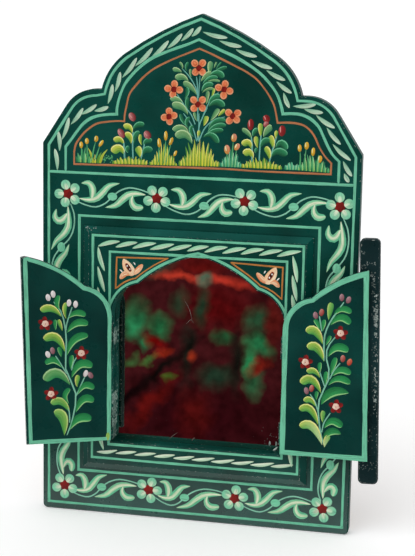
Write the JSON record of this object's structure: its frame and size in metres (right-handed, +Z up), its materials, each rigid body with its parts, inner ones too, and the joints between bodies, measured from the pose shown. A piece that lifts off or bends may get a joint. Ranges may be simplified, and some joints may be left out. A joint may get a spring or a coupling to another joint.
{
  "type": "wall mirror",
  "caption": "Arched wall mirror with a lobed wooden frame, painted ornament, and two small hinged doors that fold back from a cusped window over the glass.",
  "frame": {"origin": "middle of the backing board's wall side, in the wall plane and on the board's centre line", "axes": "+X to the viewer's right, +Y back into the wall, +Z up"},
  "size_m": [0.2556, 0.0526, 0.3682],
  "materials": {
    "painted_wood": "dark blue-green gloss enamel brushed over a white primer, with hand-painted borders and sprays",
    "mirror_glass": "silvered float glass",
    "hardboard": "bare brown hardboard",
    "painted_hinge": "pressed steel, painted over with the same enamel",
    "zinc_steel": "dull zinc plating"
  },
  "bodies": {
    "frame": {"face_board": "painted_wood", "raised_surround": "painted_wood", "mirror_glass": "mirror_glass", "backing_board": "hardboard", "sawtooth_hanger": "zinc_steel", "backing_screw_lower_left": "zinc_steel", "backing_screw_middle_left": "zinc_steel", "backing_screw_upper_left": "zinc_steel", "backing_screw_lower_right": "zinc_steel", "backing_screw_middle_right": "zinc_steel", "backing_screw_upper_right": "zinc_steel", "hanger_screw_left": "zinc_steel", "hanger_screw_right": "zinc_steel", "lower_left_hinge_frame_leaf": "painted_hinge", "lower_left_hinge_pin": "zinc_steel", "lower_right_hinge_frame_leaf": "painted_hinge", "lower_right_hinge_pin": "zinc_steel", "upper_left_hinge_frame_leaf": "painted_hinge", "upper_left_hinge_pin": "zinc_steel", "upper_right_hinge_frame_leaf": "painted_hinge", "upper_right_hinge_pin": "zinc_steel"},
    "left_door": {"left_door": "painted_wood", "lower_left_hinge_door_leaf": "painted_hinge", "upper_left_hinge_door_leaf": "painted_hinge"},
    "right_door": {"right_door": "painted_wood", "cover_strip": "painted_wood", "lower_right_hinge_door_leaf": "painted_hinge", "upper_right_hinge_door_leaf": "painted_hinge"}
  },
  "joints": [
    {"name": "left_door_hinge", "type": "hinge", "parent": "frame", "child": "left_door", "pos_m": [-0.06155, -0.0186, -0.02365], "axis": [0, 0, -1], "range_deg": [-154, 30]},
    {"name": "right_door_hinge", "type": "hinge", "parent": "frame", "child": "right_door", "pos_m": [0.06455, -0.0186, -0.02365], "axis": [0, 0, 1], "range_deg": [-180, 4]}
  ]
}
